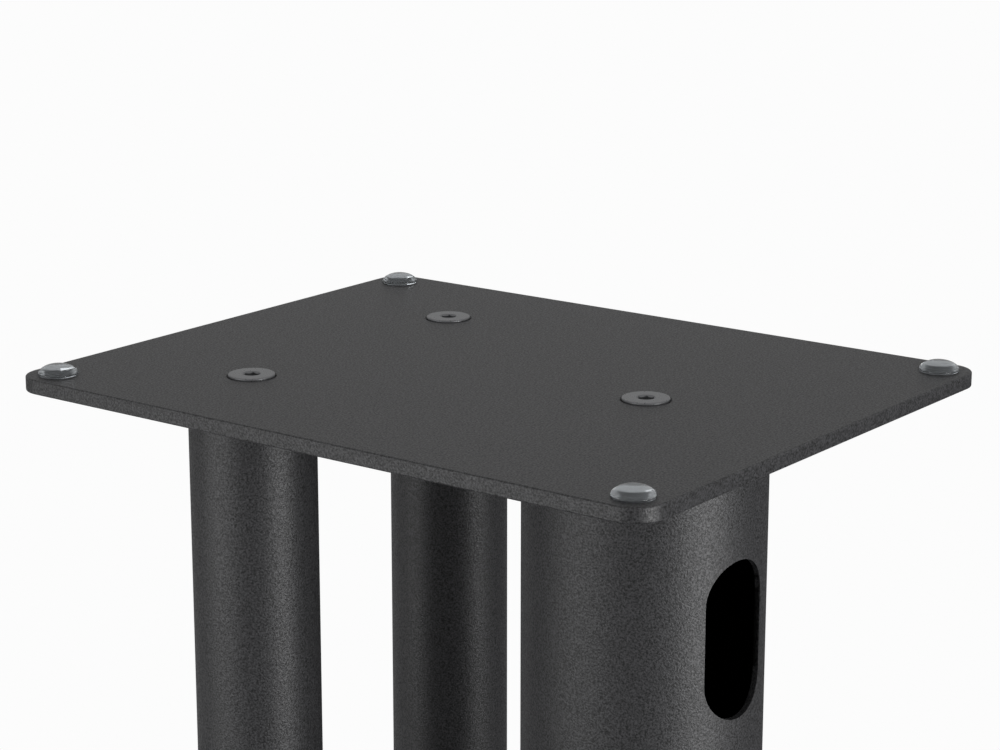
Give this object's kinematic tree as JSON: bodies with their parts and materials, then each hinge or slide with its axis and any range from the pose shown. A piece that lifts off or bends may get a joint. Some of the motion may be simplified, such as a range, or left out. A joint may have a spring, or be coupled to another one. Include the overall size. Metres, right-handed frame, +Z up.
{
  "type": "loudspeaker stand",
  "caption": "Floor-standing loudspeaker stand: a flat platform on one wide and two slim steel columns, with cable slots and screw-adjusted spiked feet.",
  "frame": {"origin": "on the floor under the middle of both plates", "axes": "+Z up; -Y towards the front, where the slim columns stand; +Y towards the rear, where the cable slots face; +X to the right seen from the front"},
  "size_m": [0.26, 0.33, 0.6133],
  "materials": {
    "powder_coat": "fine-texture black powder coat on steel",
    "black_screw": "black zinc plate, satin",
    "clear_pad": "clear soft polyurethane",
    "plain_steel": "bare steel, welded",
    "zinc_steel": "bright zinc plate",
    "shoe_metal": "turned and nickel plated"
  },
  "bodies": {
    "root": {"base_plate": "powder_coat", "base_plate_screws": "black_screw", "column_end_discs": "plain_steel", "foot_bushes": "powder_coat", "front_left_column_tube": "powder_coat", "front_right_column_tube": "powder_coat", "main_column_tube": "powder_coat", "speaker_pads": "clear_pad", "top_plate": "powder_coat", "top_plate_screws": "black_screw"},
    "front_left_shoe": {"front_left_floor_shoe": "shoe_metal"},
    "front_left_spike_stud": {"front_left_spike": "zinc_steel"},
    "front_left_nut": {"front_left_lock_nut": "zinc_steel"},
    "front_right_shoe": {"front_right_floor_shoe": "shoe_metal"},
    "front_right_spike_stud": {"front_right_spike": "zinc_steel"},
    "front_right_nut": {"front_right_lock_nut": "zinc_steel"},
    "rear_left_shoe": {"rear_left_floor_shoe": "shoe_metal"},
    "rear_left_spike_stud": {"rear_left_spike": "zinc_steel"},
    "rear_left_nut": {"rear_left_lock_nut": "zinc_steel"},
    "rear_right_shoe": {"rear_right_floor_shoe": "shoe_metal"},
    "rear_right_spike_stud": {"rear_right_spike": "zinc_steel"},
    "rear_right_nut": {"rear_right_lock_nut": "zinc_steel"}
  },
  "joints": [
    {"name": "front_left_levelling", "type": "slide", "parent": "root", "child": "front_left_shoe", "axis": [0, 0, -1], "range_m": [-0.005, 0.0075]},
    {"name": "front_left_spike_turn", "type": "hinge", "parent": "front_left_shoe", "child": "front_left_spike_stud", "pos_m": [-0.108, -0.143, 0.016], "axis": [0, 0, -1], "range_deg": [-1440, 2160]},
    {"name": "front_left_lock_nut_turn", "type": "hinge", "parent": "root", "child": "front_left_nut", "pos_m": [-0.108, -0.143, 0.016], "axis": [0, 0, -1], "range_deg": [0, 360]},
    {"name": "front_right_levelling", "type": "slide", "parent": "root", "child": "front_right_shoe", "axis": [0, 0, -1], "range_m": [-0.005, 0.0075]},
    {"name": "front_right_spike_turn", "type": "hinge", "parent": "front_right_shoe", "child": "front_right_spike_stud", "pos_m": [0.108, -0.143, 0.016], "axis": [0, 0, -1], "range_deg": [-1440, 2160]},
    {"name": "front_right_lock_nut_turn", "type": "hinge", "parent": "root", "child": "front_right_nut", "pos_m": [0.108, -0.143, 0.016], "axis": [0, 0, -1], "range_deg": [0, 360]},
    {"name": "rear_left_levelling", "type": "slide", "parent": "root", "child": "rear_left_shoe", "axis": [0, 0, -1], "range_m": [-0.005, 0.0075]},
    {"name": "rear_left_spike_turn", "type": "hinge", "parent": "rear_left_shoe", "child": "rear_left_spike_stud", "pos_m": [-0.108, 0.143, 0.016], "axis": [0, 0, -1], "range_deg": [-1440, 2160]},
    {"name": "rear_left_lock_nut_turn", "type": "hinge", "parent": "root", "child": "rear_left_nut", "pos_m": [-0.108, 0.143, 0.016], "axis": [0, 0, -1], "range_deg": [0, 360]},
    {"name": "rear_right_levelling", "type": "slide", "parent": "root", "child": "rear_right_shoe", "axis": [0, 0, -1], "range_m": [-0.005, 0.0075]},
    {"name": "rear_right_spike_turn", "type": "hinge", "parent": "rear_right_shoe", "child": "rear_right_spike_stud", "pos_m": [0.108, 0.143, 0.016], "axis": [0, 0, -1], "range_deg": [-1440, 2160]},
    {"name": "rear_right_lock_nut_turn", "type": "hinge", "parent": "root", "child": "rear_right_nut", "pos_m": [0.108, 0.143, 0.016], "axis": [0, 0, -1], "range_deg": [0, 360]}
  ],
  "couplings": [
    {"joint": "front_left_spike_turn", "follows": "front_left_levelling", "rad_per_m": 5026.5},
    {"joint": "front_right_spike_turn", "follows": "front_right_levelling", "rad_per_m": 5026.5},
    {"joint": "rear_left_spike_turn", "follows": "rear_left_levelling", "rad_per_m": 5026.5},
    {"joint": "rear_right_spike_turn", "follows": "rear_right_levelling", "rad_per_m": 5026.5}
  ]
}
